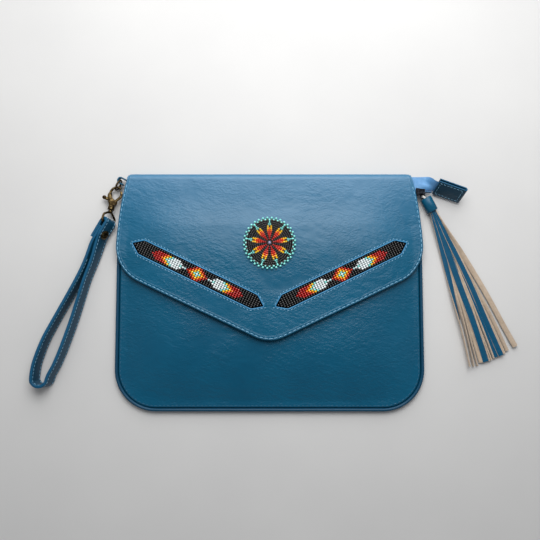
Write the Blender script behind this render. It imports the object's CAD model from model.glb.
# %% [markdown]
# # A beaded leather envelope bag, dressed for its photograph
# The solid model already says how big every piece is and how it moves. This lesson lays leather, cloth,
# glass beads and old brass over those solids. It starts by loading them and reading the sizes that the
# rest needs, so that each soft piece lands exactly where its solid is.

# %% Load the solids
import random
from math import atan2, cos, hypot, pi, radians, sin, sqrt, tan

import bmesh
import bpy
from mathutils import Matrix, Vector, noise


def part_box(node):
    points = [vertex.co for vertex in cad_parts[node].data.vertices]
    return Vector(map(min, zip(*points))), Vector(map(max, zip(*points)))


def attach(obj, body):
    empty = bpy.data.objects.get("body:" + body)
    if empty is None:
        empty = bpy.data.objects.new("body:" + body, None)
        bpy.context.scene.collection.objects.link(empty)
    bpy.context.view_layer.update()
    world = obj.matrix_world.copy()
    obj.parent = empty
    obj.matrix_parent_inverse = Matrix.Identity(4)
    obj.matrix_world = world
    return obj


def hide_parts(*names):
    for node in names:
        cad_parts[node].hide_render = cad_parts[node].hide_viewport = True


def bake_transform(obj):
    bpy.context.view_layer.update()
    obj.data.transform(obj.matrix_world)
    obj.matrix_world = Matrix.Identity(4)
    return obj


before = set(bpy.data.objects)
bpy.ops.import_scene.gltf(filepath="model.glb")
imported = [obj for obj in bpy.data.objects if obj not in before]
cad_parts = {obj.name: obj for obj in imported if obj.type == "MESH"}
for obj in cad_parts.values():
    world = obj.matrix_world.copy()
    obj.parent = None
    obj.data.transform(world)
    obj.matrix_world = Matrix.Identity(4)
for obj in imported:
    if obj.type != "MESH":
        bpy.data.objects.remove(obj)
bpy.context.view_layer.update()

HALF_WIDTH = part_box("back_panel")[1].x
Y_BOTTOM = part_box("back_panel")[0].y
Y_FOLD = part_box("flap_fold")[1].y
Y_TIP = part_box("flap_shell")[0].y
Y_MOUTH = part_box("front_panel")[1].y


def in_mm(length):
    return round(1000 * length, 1)


print("body", in_mm(2 * HALF_WIDTH), "mm wide; fold at", in_mm(Y_FOLD), "and tip at", in_mm(Y_TIP))

# %% [markdown]
# ## Camera, table and light
# The bag was photographed from straight above with a wide lens. The camera stands over it at the same
# height, so the picture has the same small perspective. The table is a plain pale sheet. A big soft
# panel beyond the top fold gives the leather its broad sheen and puts the shadows below the flap's edge,
# and a low strip behind it lights the round of the fold.

# %% Camera
scene = bpy.context.scene
scene.view_settings.view_transform = "Standard"
# Half the width of the photo and the focal length of its lens, both in pixels
HALF_PICTURE, FOCAL_LENGTH = 270.0, 560.0
lens = bpy.data.cameras.new("camera")
lens.sensor_width = 36.0
lens.angle = 2 * atan2(HALF_PICTURE, FOCAL_LENGTH)
lens.clip_start = 0.01
camera = bpy.data.objects.new("camera", lens)
camera.location = (0.0004, -0.0162, 0.4903)
camera.rotation_euler = (radians(4.1), 0.0, 0.0)
scene.collection.objects.link(camera)
scene.camera = camera
print("camera height", round(camera.location.z, 3), "m, opening", round(lens.angle * 180 / pi, 1), "degrees")


# %% Colours and shader nodes
def colour(code, strength=1.0):
    """A colour written as sRGB hex, in the linear values that a shader works with."""
    parts = [int(code[start : start + 2], 16) / 255 for start in (1, 3, 5)]
    linear = [p / 12.92 if p <= 0.04045 else ((p + 0.055) / 1.055) ** 2.4 for p in parts]
    return (*[p * strength for p in linear], 1.0)


def add(tree, kind, out, inputs=None, **settings):
    """Adds a shader node with its settings and with values or sockets for its inputs; gives one output."""
    made = tree.nodes.new("ShaderNode" + kind)
    for name, value in settings.items():
        setattr(made, name, value)
    for name, value in (inputs or {}).items():
        if isinstance(value, bpy.types.NodeSocket):
            tree.links.new(value, made.inputs[name])
        else:
            made.inputs[name].default_value = value
    return made.outputs[out]


def new_finish(name, flat=False, **values):
    """A plain finish: its material, node tree and shader, and the places on the piece or on its flat cut."""
    made = bpy.data.materials.new(name)
    made.use_nodes = True
    tree = made.node_tree
    shader = tree.nodes["Principled BSDF"]
    for word, value in values.items():
        shader.inputs[word.replace("_", " ")].default_value = value
    if flat:
        return made, tree, shader, add(tree, "Attribute", "Vector", attribute_name="flat")
    return made, tree, shader, add(tree, "TexCoord", "Object")


def surface(tree, shader, tone, height=None, distance=0.0, strength=1.0):
    """Gives the shader its colour and, from a height, its relief."""
    tree.links.new(tone, shader.inputs["Base Color"])
    if height is not None:
        relief = {"Height": height, "Distance": distance, "Strength": strength}
        tree.links.new(add(tree, "Bump", "Normal", relief), shader.inputs["Normal"])


def mottled(name, low, high, scale, detail, relief=None, rough=0.5, **values):
    """Clouds between two colours; relief is the scale, detail, distance and strength of fine bumps."""
    made, tree, shader, where = new_finish(name, **values)
    clouds = {"Vector": where, "Scale": scale, "Detail": detail, "Roughness": rough}
    share = add(tree, "TexNoise", "Fac", clouds)
    tone = add(tree, "Mix", 2, {0: share, 6: colour(low), 7: colour(high)}, data_type="RGBA")
    if relief:
        fine = {"Vector": where, "Scale": relief[0], "Detail": relief[1]}
        surface(tree, shader, tone, add(tree, "TexNoise", "Fac", fine), *relief[2:])
    else:
        surface(tree, shader, tone)
    return made


print("mid grey is", round(colour("#808080")[0], 3), "in linear light")


# %% Table and lamps
def add_lamp(name, place, target, size, power, tint):
    lamp = bpy.data.lights.new(name, "AREA")
    lamp.shape = "RECTANGLE"
    lamp.size, lamp.size_y = size
    lamp.energy = power
    lamp.color = colour(tint)[:3]
    thing = bpy.data.objects.new(name, lamp)
    thing.location = place
    thing.rotation_euler = (Vector(target) - Vector(place)).to_track_quat("-Z", "Y").to_euler()
    scene.collection.objects.link(thing)


add_lamp("soft_panel", (0.03, 0.40, 0.55), (0.0, 0.05, 0.0), (0.60, 0.44), 5.0, "#FFFEFD")
add_lamp("low_strip", (0.03, 0.80, 0.34), (0.0, 0.09, 0.0), (0.90, 0.30), 2.6, "#FFFFFF")

# A dim room, darkest straight above, where the camera hangs
world = bpy.data.worlds.new("studio")
world.use_nodes = True
scene.world = world
room = world.node_tree
sky_height = add(room, "SeparateXYZ", "Z", {"Vector": add(room, "TexCoord", "Generated")})
dimming = {"Value": sky_height, "From Min": 0.72, "From Max": 0.93, "To Min": 0.42, "To Max": 0.03}
dim = add(room, "MapRange", "Result", dimming, interpolation_type="SMOOTHSTEP")
backdrop = room.nodes["Background"]
backdrop.inputs["Color"].default_value = colour("#F1F3F6")
room.links.new(dim, backdrop.inputs["Strength"])

table_top = bmesh.new()
bmesh.ops.create_grid(table_top, x_segments=1, y_segments=1, size=3.0)
table_mesh = bpy.data.meshes.new("table")
table_top.to_mesh(table_mesh)
table_top.free()
table = bpy.data.objects.new("table", table_mesh)
table.location.z = -0.0001
scene.collection.objects.link(table)
# Smooth pale plaster, dull, with faint clouds in its tone
table_mesh.materials.append(mottled("pale_plaster", "#C7C7C7", "#D3D3D2", 9.0, 5.0, Roughness=0.75))
print("table and two soft lamps")

# %% [markdown]
# ## Leather
# The bag's leather is a smooth, half-glossy hide dyed a deep teal blue. Up close it has three kinds of
# relief: a very fine grain, short wrinkles and a few long creases in patches, and soft buckles. Clouds of
# lighter dye lie under them. All of it comes from noise measured in metres, so it keeps its real size on
# every piece. The flap reads its pattern from the flat leather before it is bent, so that the grain turns
# with the fold.


# %% Leather finish
def leather(name, deep, worn, creases=1.0, flat=False, gloss=0.42):
    """Dyed hide: clouds of dye, wrinkles in patches and fine grain; flat reads the unrolled leather."""
    made, tree, shader, where = new_finish(name, flat, Roughness=gloss, IOR=1.40, Coat_Roughness=0.46)
    # Dye clouds about 40 mm across
    clouds = {"Vector": where, "Scale": 24.0, "Detail": 5.0, "Roughness": 0.6}
    share = add(tree, "TexNoise", "Fac", clouds)
    dye = add(tree, "Mix", 2, {0: share, 6: colour(deep), 7: colour(worn)}, data_type="RGBA")
    if flat:
        # Hands have polished the flap towards its fold, and its dye is paler there
        up_flap = add(tree, "SeparateXYZ", "Y", {"Vector": where})
        handled = {"Value": up_flap, "From Min": 0.030, "From Max": 0.096, "To Max": 0.85}
        polish = add(tree, "MapRange", "Result", handled)
        tree.links.new(polish, shader.inputs["Coat Weight"])
        dye = add(tree, "Mix", 2, {0: polish, 6: dye, 7: colour("#02668F")}, data_type="RGBA")
    # Wrinkles about 1.5 and 3 mm apart, longer one way than the other, then a few long creases
    height = 0.0
    for turn, stretch, scale, line, low, weight in (
        (0.25, 2.0, 620.0, 0.0, 0.36, 0.95),
        (-0.35, 2.4, 340.0, 0.0, 0.36, 1.10),
        (0.55, 3.0, 58.0, 0.045, 0.53, -0.20),
    ):
        turned = {"Vector": where, "Rotation": (0.0, 0.0, turn), "Scale": (stretch, 1.0, 1.0)}
        axis = add(tree, "Mapping", "Vector", turned, vector_type="TEXTURE")
        wave = {"Vector": axis, "Scale": scale, "Detail": 3.0, "Distortion": 0.5}
        shape = add(tree, "TexNoise", "Fac", wave)
        if line:
            away = add(tree, "Math", "Value", {0: shape, 1: 0.5}, operation="SUBTRACT")
            away = add(tree, "Math", "Value", {0: away}, operation="ABSOLUTE")
            folded = {"Value": away, "From Max": line, "To Min": 1.0, "To Max": 0.0}
            shape = add(tree, "MapRange", "Result", folded, interpolation_type="SMOOTHSTEP")
        patch = add(tree, "TexNoise", "Fac", {"Vector": where, "Scale": 17.0 + scale / 40})
        edges = {"Value": patch, "From Min": low, "From Max": low + 0.16, "To Max": weight * creases}
        mask = add(tree, "MapRange", "Result", edges, interpolation_type="SMOOTHSTEP")
        height = add(tree, "Math", "Value", {0: shape, 1: mask, 2: height}, operation="MULTIPLY_ADD")
    # Soft buckles about 14 mm long, and grain under half a millimetre
    for scale, weight in ((70.0, 0.9), (2100.0, 0.04)):
        soft = add(tree, "TexNoise", "Fac", {"Vector": where, "Scale": scale})
        height = add(tree, "Math", "Value", {0: soft, 1: weight, 2: height}, operation="MULTIPLY_ADD")
    surface(tree, shader, dye, height, 0.00055, 0.75)
    return made


# Half-glossy teal hide of the flap, read in the flat
FLAP_HIDE = leather("teal_hide_flap", "#004A67", "#015C7D", flat=True, gloss=0.41)
# The same hide on the body
BODY_HIDE = leather("teal_hide_body", "#004562", "#015877", creases=0.9, gloss=0.40)
# Turned and rubbed edges, where the dye has gone paler
RIM_HIDE = leather("rubbed_teal_hide", "#1F6F9E", "#4B92BC", creases=0.2, gloss=0.42)
# Binding of the body's edge, a shade darker
BINDING_HIDE = leather("teal_hide_binding", "#00364F", "#014563", creases=0.3, gloss=0.46)
# Faces of the strap, dark and dull
STRAP_HIDE = leather("slate_hide", "#042D43", "#0A425B", creases=0.5)
print("leather finishes:", [each.name for each in (FLAP_HIDE, BODY_HIDE, RIM_HIDE, BINDING_HIDE, STRAP_HIDE)])

# %% [markdown]
# ## The shape of the lying bag
# Everything soft follows two height maps: the front panel, which swells softly over what the bag holds,
# and the flap's underside, which lies on it and rises to the fold. They repeat the solid model's own
# curves, with fine buckles added, and each later piece is built flat and then lifted onto them.

# %% Outline and heights
# Sizes in metres, the same as the solid model's
SIDE_TAPER = 0.0108
TAPER_LENGTH = 0.073
CORNER_RADIUS = 0.036
SEAM = 0.0033
RIM_TOP = 0.0042
PANEL_RISE = 0.0065
RISE_START = 0.006
RISE_RUN = 0.052
MOUTH_SHARE = 0.42
MOUTH_RUN = 0.060
FLAP_LENGTH = Y_FOLD - Y_TIP
FLAP_LEATHER = 0.0014
FLAP_FLOOR = 0.0010
FLAP_GAP = 0.0008
TIP_LIFT = 0.0018
FOLD_RUN = 0.040
FOLD_UNDERSIDE = 0.0079
FOLD_CORNER = 0.005
FOLD_PULL = 0.0024
BUCKLE_HEIGHT = 0.00022
BUCKLE_FADE = 0.012
# What keeps loose pieces apart and off the table
GAP = 0.0003
FOLD_RADIUS = (FOLD_UNDERSIDE + FLAP_FLOOR + FLAP_LEATHER) / 2
Y_HINGE = Y_FOLD - FOLD_RADIUS
FOLD_NEUTRAL = FOLD_RADIUS - FLAP_LEATHER / 2
FLAT_TOP = Y_HINGE + pi * FOLD_NEUTRAL


def clamp(share):
    return min(max(share, 0.0), 1.0)


def ease(share):
    return share * share * (3 - 2 * share)


def rise(share):
    return sin(pi / 2 * clamp(share))


def half_side(y):
    return HALF_WIDTH - SIDE_TAPER * clamp((y - (Y_FOLD - TAPER_LENGTH)) / TAPER_LENGTH) ** 2


def body_half_width(y, inset=0.0):
    radius = CORNER_RADIUS - inset
    side = half_side(y) - inset
    drop = min(Y_BOTTOM + inset + radius - y, radius)
    return side if drop <= 0 else side - radius + sqrt(max(radius**2 - drop**2, 0.0))


def from_edge(x, y):
    """How far inside the body's outline a place is."""
    side = half_side(y)
    in_corner = (abs(x) - (side - CORNER_RADIUS), Y_BOTTOM + CORNER_RADIUS - y)
    if min(in_corner) > 0:
        return CORNER_RADIUS - hypot(*in_corner)
    return min(side - abs(x), y - Y_BOTTOM)


def panel_top(x, y):
    across = rise((body_half_width(y, SEAM) - abs(x) - RISE_START) / RISE_RUN)
    up = rise((y - Y_BOTTOM - SEAM - RISE_START) / RISE_RUN)
    mouth = MOUTH_SHARE + (1 - MOUTH_SHARE) * rise((Y_MOUTH - y) / MOUTH_RUN)
    return RIM_TOP + PANEL_RISE * across * up * mouth


def flap_underside(x, y):
    lift = FLAP_GAP + TIP_LIFT * clamp((Y_FOLD - y) / FLAP_LENGTH)
    to_fold = rise((y - (Y_HINGE - FOLD_RUN)) / FOLD_RUN)
    return (1 - to_fold) * (panel_top(x, y) + lift) + to_fold * FOLD_UNDERSIDE


def buckles(x, y, seed):
    """Soft waves in the hide, up to a quarter of a millimetre high."""
    wave = noise.noise(Vector((x * 30, y * 42, seed))) * BUCKLE_HEIGHT
    ridge = 1 - abs(noise.noise(Vector((x * 75 + y * 40, y * 130 - x * 20, seed + 7))))
    where = clamp(noise.noise(Vector((x * 16, y * 16, seed + 3))) * 2.2 + 0.2)
    return wave - BUCKLE_HEIGHT * where * ridge**8


def over_fold(x, y, z):
    """Takes a place on the flat, unrolled flap to its place on the closed bag; z is above its inner face."""
    if y > Y_HINGE:
        turn = (y - Y_HINGE) / FOLD_NEUTRAL
        radius = FOLD_RADIUS - FLAP_LEATHER + z
        edge = clamp(1 - (half_side(Y_HINGE) - abs(x)) / FOLD_CORNER)
        pull = FOLD_PULL * (1 - sqrt(1 - edge**2))
        return Vector((x, Y_HINGE + (radius - pull) * sin(turn), FOLD_RADIUS + radius * cos(turn)))
    fade = clamp((Y_HINGE - y) / BUCKLE_FADE)
    return Vector((x, y, flap_underside(x, y) + FLAP_FLOOR + z + fade * buckles(x, y, 1.0)))


print("fold radius", in_mm(FOLD_RADIUS), "mm; panel swells to", in_mm(panel_top(0, 0)), "mm")

# %% [markdown]
# ## Small tools for meshes
# Most pieces are one of four things: a flat slab cut to an outline, a profile swept along a path, a
# profile spun round an axis, or one small shape repeated many times. Each gets one short function here.
# Profiles and routes are listed in millimetres.

# %% Mesh tools
UP = Vector((0.0, 0.0, 1.0))
QUARTER = Matrix.Rotation(pi / 2, 4, "Y")


def mm(*points):
    """Points listed in millimetres, in metres."""
    return [tuple(value / 1000 for value in point) for point in points]


def to_mesh(name, bm):
    bmesh.ops.recalc_face_normals(bm, faces=bm.faces)
    mesh = bpy.data.meshes.new(name)
    bm.to_mesh(mesh)
    bm.free()
    return mesh


def as_object(name, bm, *finishes, sharp=None):
    """The bmesh as an object with those finishes; edges sharper than the angle stay crisp."""
    mesh = to_mesh(name, bm)
    for each in finishes:
        mesh.materials.append(each)
    mesh.shade_smooth()
    if sharp:
        mesh.set_sharp_from_angle(angle=radians(sharp))
    thing = bpy.data.objects.new(name, mesh)
    scene.collection.objects.link(thing)
    return thing


def piece(name, body, bm, *finishes, sharp=None, instead_of=()):
    """An object that rides on a body and takes the place of solids."""
    made = as_object(name, bm, *finishes, sharp=sharp)
    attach(made, body)
    if instead_of:
        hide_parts(*instead_of)
    return made


def spread(start, end, pitch):
    count = max(1, round(abs(end - start) / pitch))
    return [start + (end - start) * step / count for step in range(count + 1)]


def raised(bm, geometry, height):
    """Extrudes faces with their edges straight up, and gives the new points."""
    made = bmesh.ops.extrude_face_region(bm, geom=geometry)["geom"]
    points = [item for item in made if isinstance(item, bmesh.types.BMVert)]
    bmesh.ops.translate(bm, verts=points, vec=UP * height)
    return points


def thicken(bm, height):
    raised(bm, bm.faces[:] + bm.edges[:], height)


def flat_grid(rows, columns, half_width):
    """A flat sheet over rows of y; the columns share out the width of each row."""
    bm = bmesh.new()
    bmesh.ops.create_grid(bm, x_segments=len(columns) - 1, y_segments=len(rows) - 1, size=1.0)
    for vertex in bm.verts:
        column = round((vertex.co.x + 1) / 2 * (len(columns) - 1))
        row = round((vertex.co.y + 1) / 2 * (len(rows) - 1))
        vertex.co = (columns[column] * half_width(rows[row]), rows[row], 0.0)
    return bm


def slab(rows, columns, half_width, thickness):
    """The same sheet with a thickness."""
    bm = flat_grid(rows, columns, half_width)
    thicken(bm, thickness)
    return bm


def bridge(bm, rings, closed=False):
    """Joins rings of points into a skin, with its ends filled unless it is closed on itself."""
    loops = [[bm.verts.new(place) for place in ring] for ring in rings]
    count = len(loops[0])
    faces = []
    for first, second in zip(loops, loops[1:] + (loops[:1] if closed else [])):
        for index in range(count):
            after = (index + 1) % count
            faces.append(bm.faces.new((first[index], first[after], second[after], second[index])))
    if not closed:
        faces += [bm.faces.new(loops[0]), bm.faces.new(loops[-1])]
    return faces


def smooth_line(points, steps):
    """More points on a smooth curve through the given ones."""
    ends = [points[0], *points, points[-1]]
    line = []
    for index in range(1, len(ends) - 2):
        a, b, c, d = (Vector(ends[index + k]) for k in (-1, 0, 1, 2))
        for step in range(steps):
            t = step / steps
            start = 2 * b + (c - a) * t + (2 * a - 5 * b + 4 * c - d) * t**2
            line.append(0.5 * (start + (3 * b - a - 3 * c + d) * t**3))
    return line + [Vector(points[-1])]


def heading(points, index, closed=False):
    """Which way a line of points runs at one of them."""
    if closed:
        return (points[(index + 1) % len(points)] - points[index - 1]).normalized()
    return (points[min(index + 1, len(points) - 1)] - points[max(index - 1, 0)]).normalized()


def round_steps(count):
    turns = [2 * pi * step / count for step in range(count)]
    return [(cos(turn), sin(turn)) for turn in turns]


def tube(bm, points, radii, sides=14):
    """A round rod along the points, with one radius or one at each of them."""
    if not hasattr(radii, "__len__"):
        radii = [radii] * len(points)
    rings = []
    side = heading(points, 0).orthogonal().normalized()
    for index, point in enumerate(points):
        along = heading(points, index)
        side = (side - along * side.dot(along)).normalized()
        other = along.cross(side)
        rings.append([point + (side * c + other * s) * radii[index] for c, s in round_steps(sides)])
    bridge(bm, rings)


def spun(bm, profile, steps, matrix=None):
    """A profile of (radius, height) spun round the matrix's Z axis and closed on it."""
    earlier = set(bm.verts)
    points = [bm.verts.new((radius, 0.0, height)) for radius, height in profile]
    edges = [bm.edges.new(pair) for pair in zip(points, points[1:])]
    bmesh.ops.spin(
        bm, geom=points + edges, cent=(0, 0, 0), axis=(0, 0, 1), angle=2 * pi, steps=steps, use_merge=True
    )
    if matrix:
        bmesh.ops.transform(bm, matrix=matrix, verts=[vertex for vertex in bm.verts if vertex not in earlier])
    bmesh.ops.remove_doubles(bm, verts=bm.verts, dist=1e-6)


def repeated(name, body, template, placements, *finishes, instead_of=()):
    """The small mesh many times over in one piece; each placement is a matrix and a finish's number."""
    bm = bmesh.new()
    for matrix, slot in placements:
        copy = template.copy()
        copy.transform(matrix)
        copy.polygons.foreach_set("material_index", [slot] * len(copy.polygons))
        bm.from_mesh(copy)
        bpy.data.meshes.remove(copy)
    return piece(name, body, bm, *finishes, instead_of=instead_of)


def spun_template(name, profile, steps):
    """A small spun mesh to repeat, lying along X."""
    bm = bmesh.new()
    spun(bm, profile, steps, QUARTER)
    return to_mesh(name, bm)


def along_path(points, pitch):
    """Places and directions every pitch along a line of points."""
    found = []
    wanted = pitch / 2
    run = 0.0
    for a, b in zip(points, points[1:]):
        length = (b - a).length
        while length > 0 and run + length >= wanted:
            found.append((a.lerp(b, (wanted - run) / length), (b - a).normalized()))
            wanted += pitch
        run += length
    return found


def length_of(points):
    return sum((b - a).length for a, b in zip(points, points[1:]))


def axes(x, y, z, place=(0, 0, 0)):
    """A matrix with those three directions, at a place."""
    return Matrix.Translation(place) @ Matrix((x, y, z)).transposed().to_4x4()


def frame_at(place, along):
    """A matrix whose X runs along and whose Z is close to up."""
    along = along.normalized()
    side = UP.cross(along).normalized()
    return axes(along, side, along.cross(side), place)


print("mesh tools ready")

# %% [markdown]
# ## Thread
# The flap is sewn with a pale blue waxed thread and the body with a dark one. A stitch is a short plump
# capsule, pressed into the hide at both ends, so a few rings of points are enough. Each seam repeats it
# along its own line.

# %% Stitches
TWIST = dict(scale=2600.0, detail=2.0, relief=(2600.0, 2.0, 0.0001, 1.0), Roughness=0.5, Sheen_Weight=0.2)
# Waxed polyester thread with a fine twist, pale blue
THREAD = mottled("pale_blue_thread", "#4F95BE", "#9CCDE6", **TWIST)
# The same thread in dark teal
DARK_THREAD = mottled("dark_teal_thread", "#0D4461", "#2A6C90", **TWIST)
STITCH_RADIUS = 0.19
capsule = ((0.0, -0.5), (0.09, -0.46), (0.17, -0.30), (STITCH_RADIUS, 0.0))
capsule += tuple((radius, -along) for radius, along in reversed(capsule[:-1]))
STITCH = spun_template("stitch", capsule, 6)
# Pitch, length and thickness of the stitches in each kind of seam
WINDOW_STITCH = (0.0031, 0.0019, 0.00052)
FLAP_STITCH = (0.0042, 0.0031, 0.00060)
BODY_STITCH = (0.0036, 0.0024, 0.00045)
STRAP_STITCH = (0.0032, 0.0022, 0.00042)
TAB_STITCH = (0.0030, 0.0020, 0.00042)


def stitches(name, body, line, size, slant=0.0, lift=lambda place: place, thread=THREAD):
    """A seam: one capsule for each stitch on the line; lift takes flat places to the shaped bag."""
    pitch, length, thick = size
    girth = thick / STITCH_RADIUS / 2
    placements = []
    for place, along in along_path(line, pitch):
        turn = Matrix.Rotation(radians(slant), 3, "Z") @ along
        first = lift(place - turn * length / 2)
        last = lift(place + turn * length / 2)
        stretch = Matrix.Diagonal(((last - first).length, girth, girth, 1.0))
        placements.append((frame_at((first + last) / 2, last - first) @ stretch, 0))
    repeated(name, body, STITCH, placements, thread)
    print(name, len(placements), "stitches")


print("one stitch has", len(STITCH.polygons), "faces")

# %% [markdown]
# ## Flap
# One piece of hide comes up from the back, bends over the mouth and lies on the front as the flap. It is
# built flat, as it was cut: a fine slab with the two bead windows cut out of it, and a turned hem that
# runs round its free edge. Then every point goes over the fold. Because it belongs to two bodies, the
# model's blend moves the flap about the hinge and leaves the back where it is.

# %% Flap outline
V_ANGLE = radians(25.2)
TIP_RADIUS = 0.030
LOBE_RADIUS = 0.034
HEM = 0.0060
TIP_CENTRE = Y_TIP + TIP_RADIUS
LINE_Y = TIP_CENTRE - TIP_RADIUS * cos(V_ANGLE)
LOBE_X = HALF_WIDTH - LOBE_RADIUS
TOUCH_Y = LINE_Y + (LOBE_X + LOBE_RADIUS * sin(V_ANGLE) - TIP_RADIUS * sin(V_ANGLE)) * tan(V_ANGLE)
LOBE_CENTRE = TOUCH_Y + LOBE_RADIUS * cos(V_ANGLE)


def straight_part(inset):
    """Where the straight side of the V starts and ends, in y."""
    start = TIP_CENTRE - (TIP_RADIUS - inset) * cos(V_ANGLE)
    return start, LOBE_CENTRE - (LOBE_RADIUS - inset) * cos(V_ANGLE)


def flap_half_width(y, inset=0.0):
    tip_radius = TIP_RADIUS - inset
    start, end = straight_part(inset)
    if y <= start:
        return sqrt(max(tip_radius**2 - (TIP_CENTRE - y) ** 2, 0.0))
    if y <= end:
        return tip_radius * sin(V_ANGLE) + (y - start) / tan(V_ANGLE)
    if y <= LOBE_CENTRE:
        return LOBE_X + sqrt(max((LOBE_RADIUS - inset) ** 2 - (LOBE_CENTRE - y) ** 2, 0.0))
    return half_side(min(y, Y_HINGE)) - half_side(LOBE_CENTRE) + HALF_WIDTH - inset


def flap_rows(inset, top, pitch):
    """Values of y from the tip to the top, closer together where the outline turns."""
    rows = [TIP_CENTRE - (TIP_RADIUS - inset) * cos(radians(turn)) for turn in range(1, 23, 3)]
    rows += spread(*straight_part(inset), pitch)
    turns = [V_ANGLE + (pi / 2 - V_ANGLE) * step / 14 for step in range(1, 15)]
    rows += [LOBE_CENTRE - (LOBE_RADIUS - inset) * cos(turn) for turn in turns]
    rows += spread(LOBE_CENTRE, min(top, Y_HINGE), pitch)[1:]
    if top > Y_HINGE:
        rows += spread(Y_HINGE, top, 0.0009)[1:]
    return rows


def mirrored(right, middle):
    """A whole outline: the right half, its mirror image on the left, and what joins them in the middle."""
    return [Vector((-p.x, p.y, 0.0)) for p in reversed(right)] + middle + right


def flap_edge(inset, top, pitch=0.003):
    """The flap's free edge from the top left, round the tip, to the top right, in the flat."""
    right = [Vector((flap_half_width(y, inset), y, 0.0)) for y in flap_rows(inset, top, pitch)]
    return mirrored(right, [Vector((0.0, Y_TIP + inset, 0.0))])


print("flat flap", in_mm(FLAT_TOP - Y_TIP), "mm long with its fold")

# %% Bead windows
WINDOW_ANGLE = radians(25.8)
WINDOW_FROM_MIDDLE = 0.00526
WINDOW_FROM_SIDE = 0.01486
WINDOW_WIDTH = 0.0123
WINDOW_POINT = 0.0086
WINDOW_SPAN = HALF_WIDTH - WINDOW_FROM_MIDDLE - WINDOW_FROM_SIDE
WINDOW_LENGTH = WINDOW_SPAN / cos(WINDOW_ANGLE)
WINDOW_CENTRE = (WINDOW_FROM_MIDDLE + WINDOW_SPAN / 2, Y_TIP + 0.0559)


def window_place(side, along, across):
    """A place in the left (-1) or right (1) window: along grows outwards."""
    turn = WINDOW_ANGLE * side
    run = along * side
    x = side * WINDOW_CENTRE[0] + run * cos(turn) - across * sin(turn)
    return Vector((x, WINDOW_CENTRE[1] + run * sin(turn) + across * cos(turn), 0.0))


def window_outline(side, grow=0.0, corner=0.0):
    """The window's six corners, rounded with short arcs when corner is set."""
    half = WINDOW_WIDTH / 2 + grow
    point = WINDOW_LENGTH / 2 + grow * 1.3
    shoulder = point - WINDOW_POINT * half / (WINDOW_WIDTH / 2)
    sharp = [Vector((-point, 0)), Vector((-shoulder, -half)), Vector((shoulder, -half))]
    sharp += [-place for place in sharp]
    if not corner:
        return [window_place(side, *place) for place in sharp]
    line = []
    for index, place in enumerate(sharp):
        gap = sharp[(index + 1) % 6] - place
        before = place + (sharp[index - 1] - place).normalized() * corner
        after = place + gap.normalized() * corner
        for t in (0.0, 0.25, 0.5, 0.75, 1.0):
            line.append(before * (1 - t) ** 2 + place * 2 * t * (1 - t) + after * t**2)
        for step in range(1, round(gap.length / 0.003)):
            spot = place + gap * (step * 0.003 / gap.length)
            if corner * 1.2 < (spot - place).length < gap.length - corner * 1.2:
                line.append(spot)
    return [window_place(side, *place) for place in line]


print("windows", in_mm(WINDOW_LENGTH), "x", in_mm(WINDOW_WIDTH), "mm")


# %% Flap leather
def cut_slab(bm, outlines):
    """The slab with upright holes on the outlines, as a new bmesh."""
    flat = as_object("flat_flap", bm)
    for outline in outlines:
        cutter = bmesh.new()
        cutter.faces.new([cutter.verts.new((p.x, p.y, -0.002)) for p in outline])
        thicken(cutter, 0.006)
        step = flat.modifiers.new("window", "BOOLEAN")
        step.operation = "DIFFERENCE"
        step.object = as_object("window_cutter", cutter)
    cut = bmesh.new()
    cut.from_object(flat, bpy.context.evaluated_depsgraph_get())
    for thing in [each.object for each in flat.modifiers] + [flat]:
        bpy.data.objects.remove(thing, do_unlink=True)
    return cut


def edge_rings(edge, profile):
    """The profile of (inset, height) at each point of an edge; along the fold it is square to X."""
    rings = []
    for index, point in enumerate(edge):
        along = heading(edge, index)
        inward = Vector((-along.y, along.x, 0.0))
        if point.y >= Y_HINGE:
            inward = Vector((1.0 if point.x < 0 else -1.0, 0.0, 0.0))
        rings.append([point + inward * inset + UP * z for inset, z in profile])
    return rings


HEM_INSET = 0.0031
columns = [step / 90 for step in range(-90, 91)]
rows = flap_rows(HEM_INSET, FLAT_TOP, 0.0013)
inner = slab(rows, columns, lambda y: flap_half_width(y, HEM_INSET), FLAP_LEATHER)
hide = cut_slab(inner, [window_outline(side, 0.0004) for side in (-1, 1)])
hem_profile = mm((4, 0), (0.6, 0), (0.2, 0.2), (0, 0.6), (0.05, 1.1), (0.3, 1.48), (0.8, 1.68))
hem_profile += mm((1.2, 1.58), (1.55, 1.4), (1.9, 1.55), (2.5, 1.6), (3.1, 1.5), (3.6, 1.42), (3.9, 1.1))
bridge(hide, edge_rings(flap_edge(0.0, FLAT_TOP), hem_profile))
flat_layer = hide.verts.layers.float_vector.new("flat")
for vertex in hide.verts:
    vertex[flat_layer] = vertex.co.copy()
    vertex.co = over_fold(*vertex.co)
flap_leather = as_object("flap_leather", hide, FLAP_HIDE, sharp=40)
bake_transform(flap_leather)
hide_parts("flap_shell", "flap_fold")
print("flap leather", len(flap_leather.data.polygons), "faces")


# %% Window rims and seams
def pressed_in(place, level=0.00144):
    return over_fold(place.x, place.y, level)


def on_hem(place):
    return pressed_in(place, 0.00150)


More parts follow.
